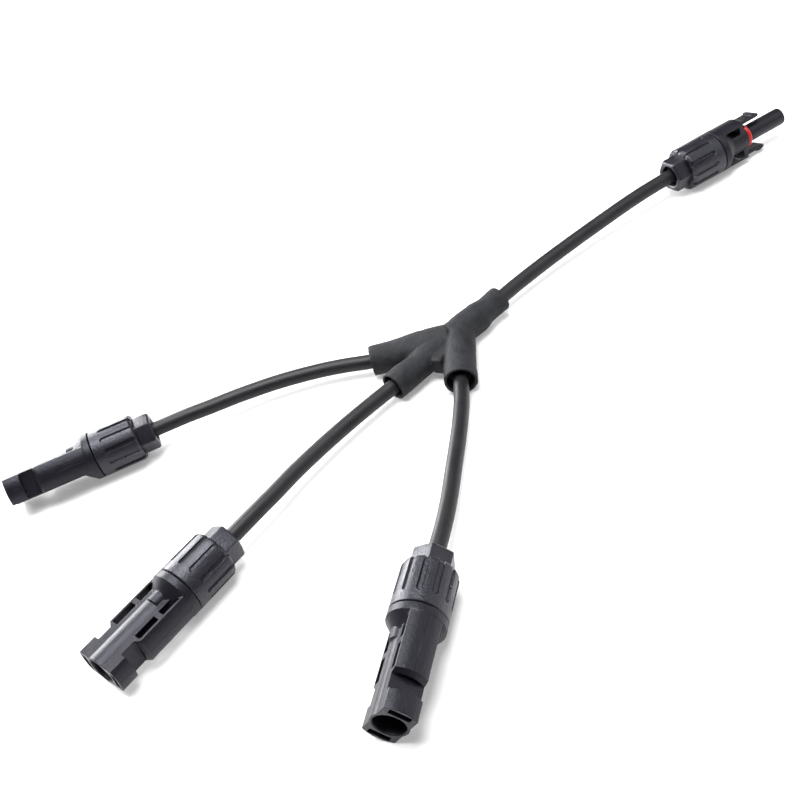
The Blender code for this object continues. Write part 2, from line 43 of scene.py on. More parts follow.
# ---------------------------------------------------------------------- layout (mm)
CENTRE = Vector((-3.52, 6.55, 0.0))   # moves the junction so that the box is centred
BOOT_HEIGHT = 6.3                     # axes of the junction's arms
# degrees that each connector, and each nut on it, is turned about its own axis
ROLL = {"left": 33.0, "middle": -3.0, "right": 50.0, "plug": 79.0}
NUT_ANGLE = {"left": 0.0, "middle": 0.0, "right": 0.0, "plug": 6.0}

# name: root of the boot's arm (x, y), heading in degrees, length, radius at root and mouth
BOOT_ARMS = {
    "left": ((-1.7, 1.8), 142.0, 32.0, 6.2, 6.0),
    "middle": ((0.0, 1.8), 180.0, 33.5, 5.7, 5.7),
    "right": ((4.0, 1.8), -134.5, 30.5, 6.0, 6.2),
    "plug": ((0.0, 1.8), 0.0, 28.6, 6.2, 5.3),
}
# how many times as wide as high each arm is at its root and at its mouth
ARM_SWELL = {"left": (1.3, 1.03), "middle": (1.04, 1.02), "right": (1.1, 1.05),
             "plug": (1.04, 1.02)}
# where each cable's jacket begins inside the boot, counted from the root of its arm
JACKET_IN_BOOT = {"left": 12.0, "middle": 9.0, "right": 12.0, "plug": 16.0}
JACKET_END = 22.6                     # jacket end inside a connector
ARM_DOME = 0.9                        # length of an arm's round root, in root radii
ARM_WAIST = 0.22                      # how far an arm narrows before its mouth
WEBS = {"right": (14.0, 13.0), "left": (19.0, 18.0)}    # reach along the middle and side arm
WEB_HALF = 1.6                        # half of a web's thickness
TAB_ROOT = (-3.8, -1.0)
TAB_HEADING = -157.5                  # degrees
TAB_LENGTH = 13.8
TAB_WIDTH = 4.4
TAB_Z = (3.4, 10.3)
MOUTH_DEPTH = 6.0                     # length of the wide part of an arm's bore, at its mouth
MOUTH_WALL = 0.95
CABLE_GAP = 0.35
DENT_DEPTH = 0.35
BROAD_DENTS = 0.16                    # noise cells per mm
FINE_DENTS = 0.55

# free part of each cable from its boot arm to its connector: x, y, height
ROUTES = {
    "left": [(-34.0, 28.9, 6.5), (-42.2, 36.3, 6.8), (-56.1, 46.0, 7.5),
             (-70.9, 53.9, 8.2), (-83.6, 59.3, 8.9), (-91.9, 62.9, 9.4)],
    "middle": [(-42.0, 1.8, 6.5), (-55.0, 1.3, 7.0), (-70.5, 0.1, 7.6),
               (-86.4, -2.1, 8.4), (-99.0, -4.6, 9.0), (-108.5, -6.25, 9.4)],
    "right": [(-22.6, -25.4, 6.5), (-27.6, -30.2, 6.7), (-38.0, -39.3, 7.4),
              (-52.3, -50.8, 8.2), (-65.6, -61.4, 8.9), (-75.0, -68.2, 9.4)],
    "plug": [(40.3, 1.6, 6.5), (57.4, 0.5, 6.9), (75.0, -1.6, 7.6),
             (91.8, -4.1, 8.4), (106.0, -6.5, 9.1), (115.2, -8.3, 9.4)],
}
CABLE_R = 3.0

# ---------------------------------------------------------------------- cap nut (mm)
NUT_LENGTH = 24.2
NUT_R = 9.5
NUT_BORE_R = 7.5
NUT_MOUTH_R = 4.5
HEX_LENGTH = 6.6
HEX_FLATS = 13.0
HEX_CORNER_R = 7.35
# rounded rear edge of the hexagon: x, and what comes off its width across flats there
HEX_EDGE = ((0.12, 0.9), (0.35, 0.45), (0.7, 0.12), (1.0, 0.0))
SHOULDER = 1.5                        # radius of the rounding between hexagon and round part
NUT_DRAFT = 0.1                       # radius lost along the nut, towards its rear
NUT_BEVEL = 0.3
FLUTES = 12
FLUTE_DEPTH = 0.8
FLUTE_TOP = 6.2                       # degrees from a flute's middle to its rim
FLUTE_FLOOR = 4.4                     # degrees from a flute's middle to the end of its floor
FLUTE_END = NUT_LENGTH - 4.0
FLUTE_ROUND = 1.0                     # how much sooner a flute ends at its rims
FLUTE_RAMP = 0.5                      # length of the slope at its closed end
FLUTE_RUNOUT = 2.4                    # how far before that end the finer sections begin
CONE_SEAT = ((2.4, 4.9), (8.9, 7.1))  # x, radius of the cone that squeezes the cage

# ---------------------------------------------------------------------- housing (mm)
COLLAR_START = NUT_LENGTH + 0.3
COLLAR_END = 27.2
COLLAR_R = 9.5
THREAD_START = 10.5
THREAD_ROOT_R = 6.75
THREAD_CREST_R = 7.15
THREAD_PITCH = 2.0
THREAD_FREE = (0.9, 1.6)              # bare tube behind and in front of the thread
THREAD_STEPS = 60                     # sections per turn
THREAD_FOOT = 0.62                    # half the width of the ridge at its foot
THREAD_TOP = 0.2                      # half the width of its crest
SEAL_BORE_R = 5.6
SEAL_BORE_END = 22.5
CHAMBER_R = 3.9
CHAMBER_END = 33.0
CONTACT_HOLE_R = 2.9
CONE_END = 32.4
CONE_END_R = 5.6
SIDE_R = 9.4
SIDE_WALL_INNER_R = 8.7
HALF_THICK = 5.3
SPINE_R = 5.95
CONE_BAND_R = (5.4, 9.2)              # between these radii the plug's cone is grained
BEAD_R = 0.13                         # parting line along the curved sides
BEAD_SUNK = 0.06
VOID_INNER_Y = 4.45
VOID_INNER_R = 5.6

RECEPTACLE_LENGTH = 60.0
BORE_R = 5.0
BORE_DEEP_R = 4.2
BORE_STEP = 53.0
PARTITION_END = 35.4
VOIDS_RECEPTACLE = ((29.0, 36.0), (38.1, 46.4))
CATCH_START = 48.2
CATCH_END = 53.5
CATCH_Y = 5.9
LIP_R = 7.9
LIP_BEVEL = 1.4
PASSAGE_R = 7.7
SLOT_Y = (6.0, 8.3)
SLOT_HALF_Z = 3.45
BOSS_R = 3.0
BOSS_Z = 3.9
BOSS_X = (28.5, 34.7)

PLUG_FRONT = 38.8
VOIDS_PLUG = ((29.0, 36.8),)
PLUG_VOID_INNER_Y = 3.7
PLUG_VOID_INNER_R = 5.0
SHOULDER_R = 5.3
SHOULDER_END = 40.9
NOSE_R = 3.85
NOSE_END = 62.9
NOSE_TIP_BORE_R = 2.25
NOSE_TIP_WALL = 1.1
GROOVE_END = 43.0
GROOVE_R = 3.45
NOSE_SLIT_X = (44.4, 48.2)
NOSE_SLIT_HALF = 0.35
RING_R = 0.78
RING_HALF_WIDTH = 1.0

LATCH_START = PLUG_FRONT - 1.0        # the arm begins inside the housing
LATCH_ROOT = 39.1
LATCH_HALF_Z = 3.1
# inside of the arm, tip, ramp, hook and outside: x, y
LATCH_OUTLINE = [(LATCH_START, 6.3), (49.0, 6.5), (49.6, 7.2), (49.3, 7.9), (46.6, 9.0),
                 (46.2, 9.0), (46.2, 7.9), (41.5, 7.9), (LATCH_START, 8.3)]

# ---------------------------------------------------------------------- contacts (mm)
BARREL_START = 23.2
BARREL_BORE_END = 30.5
BARREL_R = 2.4
BARREL_BORE_R = 1.6
FLANGE = (31.0, 32.2, 2.75)
SHAFT_R = 2.55
PIN_R = 1.95
PIN_END = 52.0
PIN_POINT = 1.6                       # length of the rounded tip

# ---------------------------------------------------------------------- cutters (mm)
PAST = 1.0                            # how far a cutter runs past the face that it opens
OVERLAP = 0.5                         # how far two cutters run into each other

# ---------------------------------------------------------------------- fineness
HOUSING_VOXEL = 0.16
BOOT_VOXEL = 0.28
KEPT_TRIANGLES = 0.22
ROUND = 96                            # sides of a turned body
NUT_SIDES = 288

# ---------------------------------------------------------------------- camera (m, degrees)
CAMERA_PLACE = (-0.20167, -0.26444, 0.25768)
CAMERA_AZIMUTH = -31.3
CAMERA_ELEVATION = 39.06
CAMERA_ROLL = -19.0
CAMERA_LENS = 47.36
SENSOR = 36.0

# ---------------------------------------------------------------------- studio
# name, place (m), size (m), power (W)
LIGHTS = [
    ("top", (-0.03, 0.06, 1.15), 0.85, 34.0),
    ("back", (-0.2, 1.15, 0.36), 0.9, 42.0),
    ("side", (0.75, -0.55, 0.6), 0.8, 4.0),
]
WORLD_STRENGTH = 0.12
FLOOR_HALF = 3.0                      # m
FLOOR_TONE = 0.62
FLOOR_GLOW = 0.27                     # near the object
FAR_GLOW = 0.95                       # far out and at the horizon
FLOOR_LIT = (0.45, 1.1)               # m from the origin, where the glow starts and stops rising
HORIZON = (0.06, 0.2)                 # sines of the elevations between which the world dims


# ====================================================================== mesh tools
def link(obj):
    bpy.context.scene.collection.objects.link(obj)
    return obj


def finished_mesh(name, bm):
    """Mesh datablock from a bmesh, with its faces pointing out."""
    bmesh.ops.recalc_face_normals(bm, faces=bm.faces)
    mesh = bpy.data.meshes.new(name)
    bm.to_mesh(mesh)
    bm.free()
    return mesh


def lofted(name, rings, wrap=False):
    """Skin between rings of equal count: capped at both ends, or wrapped into a loop."""
    bm = bmesh.new()
    rows = [[bm.verts.new(p) for p in ring] for ring in rings]
    pairs = list(zip(rows, rows[1:]))
    if wrap:
        pairs.append((rows[-1], rows[0]))
    count = len(rows[0])
    for low, high in pairs:
        for i in range(count):
            j = (i + 1) % count
            bm.faces.new((low[i], low[j], high[j], high[i]))
    if not wrap:
        bm.faces.new(rows[0])
        bm.faces.new(rows[-1])
    return finished_mesh(name, bm)


def circle(x, radius, segments=ROUND):
    step = 2 * math.pi / segments
    return [Vector((x, radius * math.cos(step * i), radius * math.sin(step * i)))
            for i in range(segments)]


def turned(name, profile, segments=ROUND, wrap=False):
    """Turned body about +X from (x, radius) pairs."""
    return lofted(name, [circle(x, r, segments) for x, r in profile], wrap)


def prism(name, outline, start, end, axis="X"):
    """Outline extruded along X from (y, z) pairs, or along Z from (x, y) pairs."""
    if axis == "X":
        rings = [[Vector((d, a, b)) for a, b in outline] for d in (start, end)]
    else:
        rings = [[Vector((a, b, d)) for a, b in outline] for d in (start, end)]
    return lofted(name, rings)


def box(name, low, high):
    section = [(low[1], low[2]), (high[1], low[2]), (high[1], high[2]), (low[1], high[2])]
    return prism(name, section, low[0], high[0])


def joined(name, meshes, matrices=None):
    """Several meshes in one datablock, each moved by its matrix."""
    bm = bmesh.new()
    for i, mesh in enumerate(meshes):
        copy = mesh.copy()
        if matrices:
            copy.transform(matrices[i])
        bm.from_mesh(copy)
        bpy.data.meshes.remove(copy)
    mesh = bpy.data.meshes.new(name)
    bm.to_mesh(mesh)
    bm.free()
    return mesh


def mirrored_y(mesh):
    """Copy of a mesh on the other side of the XZ plane."""
    bm = bmesh.new()
    bm.from_mesh(mesh)
    bmesh.ops.scale(bm, vec=(1, -1, 1), verts=bm.verts)
    return finished_mesh(mesh.name + "_mirrored", bm)


def both_sides(name, mesh):
    return joined(name, [mesh, mirrored_y(mesh)])


def arc(radius, start, end, count):
    """Points (y, z) on a circle about the connector's axis, angles in radians."""
    step = (end - start) / (count - 1)
    return [(radius * math.cos(start + step * i), radius * math.sin(start + step * i))
            for i in range(count)]


def evaluated(name, mesh, prepare):
    """Mesh after the modifiers that prepare(object) adds to an object that holds it.

    prepare may return helper objects, which are removed with that object.
    """
    holder = link(bpy.data.objects.new(name, mesh))
    helpers = prepare(holder) or []
    graph = bpy.context.evaluated_depsgraph_get()
    result = bpy.data.meshes.new_from_object(holder.evaluated_get(graph))
    result.name = name
    for obj in helpers + [holder]:
        bpy.data.objects.remove(obj, do_unlink=True)
    return result


def carved(name, blank, steps):
    """Blank mesh after a chain of exact Booleans, given as (operation, mesh) pairs."""
    def prepare(holder):
        cutters = []
        for operation, mesh in steps:
            cutter = link(bpy.data.objects.new(name + "_cutter", mesh))
            cutters.append(cutter)
            modifier = holder.modifiers.new("carve", "BOOLEAN")
            modifier.operation = operation
            modifier.solver = "EXACT"
            modifier.object = cutter
        return cutters
    return evaluated(name, blank, prepare)


def moulded(name, mesh, voxel, rounds, kept=KEPT_TRIANGLES):
    """Union of a mesh's bodies with small radii on its edges, as a mould leaves them."""
    def prepare(holder):
        remesh = holder.modifiers.new("voxels", "REMESH")
        remesh.mode = "VOXEL"
        remesh.voxel_size = voxel
        smooth = holder.modifiers.new("edges", "SMOOTH")
        smooth.factor = 0.5
        smooth.iterations = rounds
        thin = holder.modifiers.new("thin", "DECIMATE")
        thin.ratio = kept
    return evaluated(name, mesh, prepare)


# ====================================================================== materials
def add_node(tree, kind, inputs=None, **settings):
    """New node; an input's value is a constant or the socket that feeds it."""
    made = tree.nodes.new(kind)
    for key, value in settings.items():
        setattr(made, key, value)
    for key, value in (inputs or {}).items():
        if isinstance(value, bpy.types.NodeSocket):
            tree.links.new(value, made.inputs[key])
        else:
            made.inputs[key].default_value = value
    return made


def noise_value(tree, place, per_mm, detail=3.0, rough=0.55):
    made = add_node(tree, "ShaderNodeTexNoise", {
        "Vector": place, "Scale": per_mm / MM, "Detail": detail, "Roughness": rough})
    return made.outputs["Fac"]


def ranged(tree, value, low, high):
    """Value between low and high, for the middle part of a noise's range."""
    made = add_node(tree, "ShaderNodeMapRange", {
        "Value": value, "From Min": 0.3, "From Max": 0.7, "To Min": low, "To Max": high})
    return made.outputs["Result"]


def surface(name, colour, roughness, grain, patch_per_mm=0.1, spread=0.25, **sockets):
    """Procedural material. Colour and roughness drift over patches, and grain is a list of
    (features per mm, depth in mm) bumps, the finest last."""
    mat = bpy.data.materials.new(name)
    mat.use_nodes = True
    tree = mat.node_tree
    shader = tree.nodes["Principled BSDF"]
    place = add_node(tree, "ShaderNodeTexCoord").outputs["Object"]
    patches = noise_value(tree, place, patch_per_mm, 4.0)
    dark = [c * (1.0 - spread) for c in colour] + [1.0]
    light = [c * (1.0 + spread) for c in colour] + [1.0]
    mix = add_node(tree, "ShaderNodeMix", {
        "Factor": ranged(tree, patches, 0.0, 1.0), "A": dark, "B": light}, data_type="RGBA")
    mixed = next(socket for socket in mix.outputs if socket.type == "RGBA")
    tree.links.new(mixed, shader.inputs["Base Color"])
    speckle = noise_value(tree, place, grain[-1][0], 2.0)
    blend = add_node(tree, "ShaderNodeMath", {0: patches, 1: speckle}, operation="ADD")
    halved = add_node(tree, "ShaderNodeMath", {0: blend.outputs[0], 1: 0.5},
                      operation="MULTIPLY")
    tree.links.new(ranged(tree, halved.outputs[0], *roughness), shader.inputs["Roughness"])
    normal = None
    for per_mm, depth in grain:
        bump = add_node(tree, "ShaderNodeBump", {
            "Height": noise_value(tree, place, per_mm), "Distance": depth * MM})
        if normal:
            tree.links.new(normal, bump.inputs["Normal"])
        normal = bump.outputs["Normal"]
    tree.links.new(normal, shader.inputs["Normal"])
    for socket, value in sockets.items():
        shader.inputs[socket.replace("_", " ")].default_value = value
    return mat


def make_materials():
    return {
        "connector_plastic": surface(
            "connector_plastic", (0.0042, 0.0042, 0.0062), (0.31, 0.50),
            [(0.35, 0.04), (1.4, 0.09)], Specular_IOR_Level=0.27,
            Specular_Tint=(0.86, 0.86, 1.0, 1.0)),
        "nut_plastic": surface(
            "nut_plastic", (0.0060, 0.0060, 0.0082), (0.25, 0.48), [(0.35, 0.04), (1.2, 0.16)],
            Specular_IOR_Level=0.46, Specular_Tint=(0.86, 0.86, 1.0, 1.0)),
        "stippled_plastic": surface(
            "stippled_plastic", (0.0065, 0.0065, 0.008), (0.34, 0.6), [(0.9, 0.35), (2.6, 0.15)],
            Specular_IOR_Level=0.4),
        "cage_plastic": surface(
            "cage_plastic", (0.05, 0.05, 0.055), (0.4, 0.55), [(0.5, 0.03), (3.0, 0.02)]),
        "cable_jacket": surface(
            "cable_jacket", (0.0072, 0.0072, 0.0090), (0.38, 0.54), [(0.25, 0.06), (1.8, 0.05)],
            Specular_IOR_Level=0.25),
        "boot_rubber": surface(
            "boot_rubber", (0.0122, 0.0126, 0.0150), (0.56, 0.80), [(0.3, 0.2), (1.6, 0.16)],
            patch_per_mm=0.22, spread=0.4, Specular_IOR_Level=0.2),
        "seal_rubber": surface(
            "seal_rubber", (0.02, 0.02, 0.02), (0.6, 0.75), [(0.5, 0.04), (2.0, 0.02)]),
        "red_silicone": surface(
            "red_silicone", (0.36, 0.010, 0.008), (0.26, 0.38), [(0.4, 0.03), (1.5, 0.01)],
            spread=0.12, Specular_IOR_Level=0.3),
        "tinned_contact": surface(
            "tinned_contact", (0.72, 0.72, 0.70), (0.18, 0.34), [(0.6, 0.01), (4.0, 0.01)],
            spread=0.06, Metallic=1.0),
        "spring_steel": surface(
            "spring_steel", (0.60, 0.60, 0.60), (0.22, 0.38), [(0.6, 0.01), (4.0, 0.01)],
            spread=0.06, Metallic=1.0),
        "copper": surface(
            "copper", (0.75, 0.60, 0.48), (0.28, 0.44), [(0.6, 0.02), (3.0, 0.03)],
            spread=0.1, Metallic=1.0),
    }


# ====================================================================== cap nut
def smooth_step(value, low, high):
    t = min(1.0, max(0.0, (value - low) / (high - low)))
    return t * t * (3.0 - 2.0 * t)


def hex_radius(angle, flats):
    """Distance from the axis to a hexagon with slightly rounded corners, angle in degrees."""
    from_flat = (angle + 30.0) % 60.0 - 30.0
    radius = flats / 2 / math.cos(math.radians(from_flat))
    return radius - 0.5 * max(0.0, radius - HEX_CORNER_R)


def flute(angle, x):
    """How much of its full depth a flute has at this place, from 0 to 1."""
    pitch = 360.0 / FLUTES
    from_middle = abs((angle + pitch / 2) % pitch - pitch / 2)
    across = 1.0 - smooth_step(from_middle, FLUTE_FLOOR, FLUTE_TOP)
    # the closed end is round, so it comes sooner at the sides than in the middle
    end = FLUTE_END - FLUTE_ROUND * (from_middle / FLUTE_TOP) ** 2
    return across * (1.0 - smooth_step(x, end - FLUTE_RAMP, end))


def nut_outside(x, angle):
    """Radius of the nut's round part, with a slight draft and a bevel at its front edge."""
    back = max(0.0, HEX_LENGTH + SHOULDER - x)
    radius = NUT_R - SHOULDER + math.sqrt(max(0.0, SHOULDER ** 2 - back ** 2))
    radius -= NUT_DRAFT * (NUT_LENGTH - x) / NUT_LENGTH
    radius -= max(0.0, x - (NUT_LENGTH - NUT_BEVEL))
    return radius - FLUTE_DEPTH * flute(angle, x)


def nut_sections():
    """Places of the round part's cross-sections, finer where the shape changes."""
    round_start = HEX_LENGTH + SHOULDER
    runout_start = FLUTE_END - FLUTE_RUNOUT
    shoulder = [HEX_LENGTH + SHOULDER * (1 - math.cos(math.pi / 2 * i / 8)) for i in range(9)]
    middle = [round_start + (runout_start - round_start) * i / 10 for i in range(1, 11)]
    runout = [runout_start + 0.2 * i for i in range(1, 16)]
    return shoulder + middle + runout + [NUT_LENGTH - NUT_BEVEL, NUT_LENGTH - 0.12, NUT_LENGTH]


def nut_mesh():
    angles = [360.0 * i / NUT_SIDES for i in range(NUT_SIDES)]

    def ring(x, radius_at):
        return [Vector((x, radius_at(a) * math.cos(math.radians(a)),
                        radius_at(a) * math.sin(math.radians(a)))) for a in angles]

    rings = [ring(0.0, lambda a: min(hex_radius(a, HEX_FLATS - 1.4), 5.9))]
    # the corners lose a little more than the flats
    for x, trim in HEX_EDGE + ((HEX_LENGTH, 0.0),):
        rings.append(ring(x, lambda a, trim=trim: hex_radius(a, HEX_FLATS - trim)
                          - 0.35 * trim * (hex_radius(a, HEX_FLATS) - HEX_FLATS / 2)))
    for x in nut_sections():
        rings.append(ring(x, lambda a, x=x: nut_outside(x, a)))
    (seat_x, _), (seat_end, _) = CONE_SEAT
    inside = [(NUT_LENGTH, NUT_BORE_R + 0.2), (NUT_LENGTH - NUT_BEVEL, NUT_BORE_R),
              (seat_end, NUT_BORE_R), CONE_SEAT[1], CONE_SEAT[0], (seat_x, NUT_MOUTH_R + 0.2),
              (seat_x - 0.2, NUT_MOUTH_R), (0.7, NUT_MOUTH_R), (0.3, NUT_MOUTH_R + 0.25),
              (0.0, NUT_MOUTH_R + 0.9)]
    rings += [ring(x, lambda a, r=r: r) for x, r in inside]
    return lofted("nut", rings, wrap=True)


# ====================================================================== housings
def slab_outline():
    """Section between two flat panels with a low round spine and two curved side walls."""
    corner = math.asin(HALF_THICK / SIDE_R)
    ridge = math.asin(HALF_THICK / SPINE_R)
    points = arc(SIDE_R, -corner, corner, 25)
    points += arc(SPINE_R, ridge, math.pi - ridge, 17)
    points += arc(SIDE_R, math.pi - corner, math.pi + corner, 25)
    points += arc(SPINE_R, math.pi + ridge, 2 * math.pi - ridge, 17)
    return points


def void_meshes(spans, inner_y=VOID_INNER_Y, inner_r=VOID_INNER_R):
    """Spaces behind both side walls, open through both flat panels."""
    outer = math.acos(inner_y / SIDE_WALL_INNER_R)
    inner = math.acos(inner_y / inner_r)
    outline = arc(SIDE_WALL_INNER_R, -outer, outer, 33) + arc(inner_r, inner, -inner, 17)
    return joined("voids", [both_sides("void", prism("void", outline, start, end))
                            for start, end in spans])


def rear_core(name):
    """Rear tube, collar and the cone that runs down to the panels."""
    return turned(name, [
        (THREAD_START, THREAD_ROOT_R - 0.3), (THREAD_START + 0.3, THREAD_ROOT_R),
        (COLLAR_START, THREAD_ROOT_R), (COLLAR_START, COLLAR_R), (COLLAR_END, COLLAR_R),
        (CONE_END, CONE_END_R)])


def thread_mesh():
    """Helical ridge of the screw thread, fading in and out at its ends."""
    turns = (COLLAR_START - THREAD_START - sum(THREAD_FREE)) / THREAD_PITCH
    count = round(turns * THREAD_STEPS)
    half_turn = THREAD_STEPS / 2
    foot_r = THREAD_ROOT_R - 0.25
    faded_r = THREAD_ROOT_R - 0.1
    rings = []
    for i in range(count + 1):
        angle = 2 * math.pi * i / THREAD_STEPS
        x = THREAD_START + THREAD_FREE[0] + THREAD_PITCH * i / THREAD_STEPS
        fade = min(1.0, i / half_turn, (count - i) / half_turn)
        crest = faded_r + (THREAD_CREST_R - faded_r) * fade
        section = [(-THREAD_FOOT, foot_r), (-THREAD_TOP, crest), (THREAD_TOP, crest),
                   (THREAD_FOOT, foot_r)]
        rings.append([Vector((x + a, r * math.cos(angle), r * math.sin(angle)))
                      for a, r in section])
    return lofted("thread", rings)


def seam_beads(spans):
    """Fine parting line along the middle of both curved sides."""
    section = [(SIDE_R - BEAD_SUNK + BEAD_R * math.cos(math.pi * i / 4),
                BEAD_R * math.sin(math.pi * i / 4)) for i in range(8)]
    return [both_sides("bead", prism("bead", section, start, end)) for start, end in spans]


def rear_bore():
    """First part of a housing's bore, for the seal and the contact's barrel."""
    return [(THREAD_START - PAST, SEAL_BORE_R), (SEAL_BORE_END, SEAL_BORE_R),
            (SEAL_BORE_END, CHAMBER_R), (CHAMBER_END, CHAMBER_R),
            (CHAMBER_END, CONTACT_HOLE_R)]


def receptacle_mesh():
    blank = prism("receptacle_blank", slab_outline(), COLLAR_END - 0.7, RECEPTACLE_LENGTH)
    bevel = turned("bevel", [
        (CATCH_START - LIP_BEVEL, SIDE_R + 0.1), (CATCH_START - LIP_BEVEL, SIDE_R + 2 * PAST),
        (CATCH_END - 1.0, SIDE_R + 2 * PAST), (CATCH_END - 1.0, LIP_R), (CATCH_START, LIP_R)],
        wrap=True)
    catch = box("catch", (CATCH_START, CATCH_Y, -HALF_THICK - PAST),
                (CATCH_END, SIDE_R + PAST, HALF_THICK + PAST))
    half = math.acos(SLOT_Y[0] / PASSAGE_R)
    passage = prism("passage", arc(PASSAGE_R, -half, half, 25),
                    VOIDS_RECEPTACLE[1][1] - OVERLAP, CATCH_START + OVERLAP)
    slot = box("slot", (CATCH_END - OVERLAP, SLOT_Y[0], -SLOT_HALF_Z),
               (RECEPTACLE_LENGTH + PAST, SLOT_Y[1], SLOT_HALF_Z))
    latch_way = [("DIFFERENCE", both_sides(mesh.name + "_pair", mesh))
                 for mesh in (passage, catch, slot)]
    boss = turned("boss", [(BOSS_X[0], BOSS_R), (BOSS_X[1], BOSS_R)], 48)
    boss.transform(Matrix.Translation((0, 0, BOSS_Z)))
    bore = turned("receptacle_bore", rear_bore() + [
        (PARTITION_END, CONTACT_HOLE_R), (PARTITION_END, BORE_DEEP_R), (BORE_STEP, BORE_DEEP_R),
        (BORE_STEP + 0.8, BORE_R), (RECEPTACLE_LENGTH - 0.4, BORE_R),
        (RECEPTACLE_LENGTH + 0.6, BORE_R + 0.7)])
    body = carved("receptacle", blank, [
        ("DIFFERENCE", bevel), ("DIFFERENCE", void_meshes(VOIDS_RECEPTACLE))] + latch_way + [
        ("UNION", rear_core("receptacle_core")), ("UNION", boss), ("DIFFERENCE", bore)])
    body = moulded("receptacle", joined("receptacle", [body, thread_mesh()]), HOUSING_VOXEL, 3)
    beads = seam_beads(((COLLAR_END + 0.4, CATCH_START - LIP_BEVEL - 0.3),
                        (CATCH_END + 0.4, RECEPTACLE_LENGTH - 0.5)))
    return joined("receptacle", [body] + beads)


def plug_mesh():
    blank = prism("plug_blank", slab_outline(), COLLAR_END - 0.7, PLUG_FRONT)
    nose = turned("nose", [
        (PLUG_FRONT - 1.0, SHOULDER_R), (SHOULDER_END, SHOULDER_R), (SHOULDER_END, GROOVE_R),
        (GROOVE_END, GROOVE_R), (GROOVE_END, NOSE_R), (NOSE_END - 0.5, NOSE_R),
        (NOSE_END - 0.15, NOSE_R - 0.12), (NOSE_END, NOSE_R - 0.4)])
    bore = turned("plug_bore", rear_bore() + [
        (NOSE_END - NOSE_TIP_WALL, CONTACT_HOLE_R),
        (NOSE_END - NOSE_TIP_WALL, NOSE_TIP_BORE_R),
        (NOSE_END + PAST, NOSE_TIP_BORE_R)])
    slit = box("nose_slit", (NOSE_SLIT_X[0], 2.0, -NOSE_SLIT_HALF),
               (NOSE_SLIT_X[1], 5.0, NOSE_SLIT_HALF))
    windows = void_meshes(VOIDS_PLUG, PLUG_VOID_INNER_Y, PLUG_VOID_INNER_R)
    body = carved("plug", blank, [
        ("DIFFERENCE", windows), ("UNION", rear_core("plug_core")), ("UNION", nose),
        ("DIFFERENCE", bore), ("DIFFERENCE", both_sides("slits", slit))])
    return moulded("plug", joined("plug", [body, thread_mesh()]), HOUSING_VOXEL, 3)


def stipple_cone(mesh, index):
    """Gives the sloping faces between collar and windows a material of their own."""
    low, high = CONE_BAND_R
    for face in mesh.polygons:
        x, y, z = face.center
        on_cone = COLLAR_END + 0.3 < x < CONE_END + 1.0 and low < math.hypot(y, z) < high
        if on_cone and face.normal.x > 0.35:
            face.material_index = index


def o_ring_mesh():
    major = GROOVE_R + 0.3 + RING_R
    centre = (SHOULDER_END + GROOVE_END) / 2
    turns = [2 * math.pi * i / 32 for i in range(32)]
    profile = [(centre + RING_HALF_WIDTH * math.cos(a), major + RING_R * math.sin(a))
               for a in turns]
    return turned("o_ring", profile, wrap=True)


def latch_mesh():
    """Upper latch arm: it grows out of the housing and ends in a wedge hook."""
    blank = prism("latch", LATCH_OUTLINE, -LATCH_HALF_Z, LATCH_HALF_Z, axis="Z")
    # the outside follows the round side wall
    shell = turned("shell", [(LATCH_START - 1.0, SIDE_R - 0.3), (LATCH_ROOT + 12.0, SIDE_R - 0.3)])
    return moulded("latch", carved("latch", blank, [("INTERSECT", shell)]),
                   HOUSING_VOXEL * 0.75, 3, 0.5)


def pin_mesh():
    start, end, flange_r = FLANGE
    point = [(PIN_END - PIN_POINT * (1.0 - math.sin(math.pi / 2 * i / 8)),
              0.5 + (PIN_R - 0.5) * math.cos(math.pi / 2 * i / 8)) for i in range(9)]
    return turned("pin", [
        (BARREL_BORE_END, BARREL_BORE_R), (BARREL_START, BARREL_BORE_R), (BARREL_START, BARREL_R),
        (start, BARREL_R), (start, flange_r), (end, flange_r), (end, SHAFT_R),
        (PARTITION_END + 0.2, SHAFT_R), (PARTITION_END + 0.8, PIN_R)] + point, 48)


# ====================================================================== junction
def arm_direction(name):
    heading = math.radians(BOOT_ARMS[name][1])
    return Vector((math.cos(heading), math.sin(heading), 0.0))


def arm_point(name, distance):
    """Point on an arm's axis, counted from its root."""
    x, y = BOOT_ARMS[name][0]
    return Vector((x, y, BOOT_HEIGHT)) + arm_direction(name) * distance


def along_arm(name, mesh):
    """Mesh modelled on +X, moved onto an arm."""
    x, y = BOOT_ARMS[name][0]
    heading = math.radians(BOOT_ARMS[name][1])
    mesh.transform(Matrix.Translation((x, y, BOOT_HEIGHT)) @ Matrix.Rotation(heading, 4, "Z"))
    return mesh


def boot_arm(name):
    """Arm with a soft swell at its root and a slight collar at its mouth."""
    _, _, length, root_r, mouth_r = BOOT_ARMS[name]
    at_root, at_mouth = ARM_SWELL[name]
    profile = [(root_r * (math.sin(math.pi / 2 * i / 8) - 1.0) * ARM_DOME,
                0.4 + (root_r - 0.4) * math.sin(math.pi / 2 * (i + 0.5) / 8.5))
               for i in range(8)]
    for i in range(25):
        x = length * i / 24
        t = smooth_step(x, length * 0.5, length * 0.75)
        dip = ARM_WAIST * math.sin(math.pi * smooth_step(x, length * 0.35, length * 0.95))
        profile.append((x, root_r + (mouth_r - root_r) * t - dip))
    mesh = turned("arm", profile, 64)
    for vertex in mesh.vertices:
        t = smooth_step(vertex.co.x, length * 0.25, length)
        vertex.co.y *= at_root + (at_mouth - at_root) * t
    return along_arm(name, mesh)


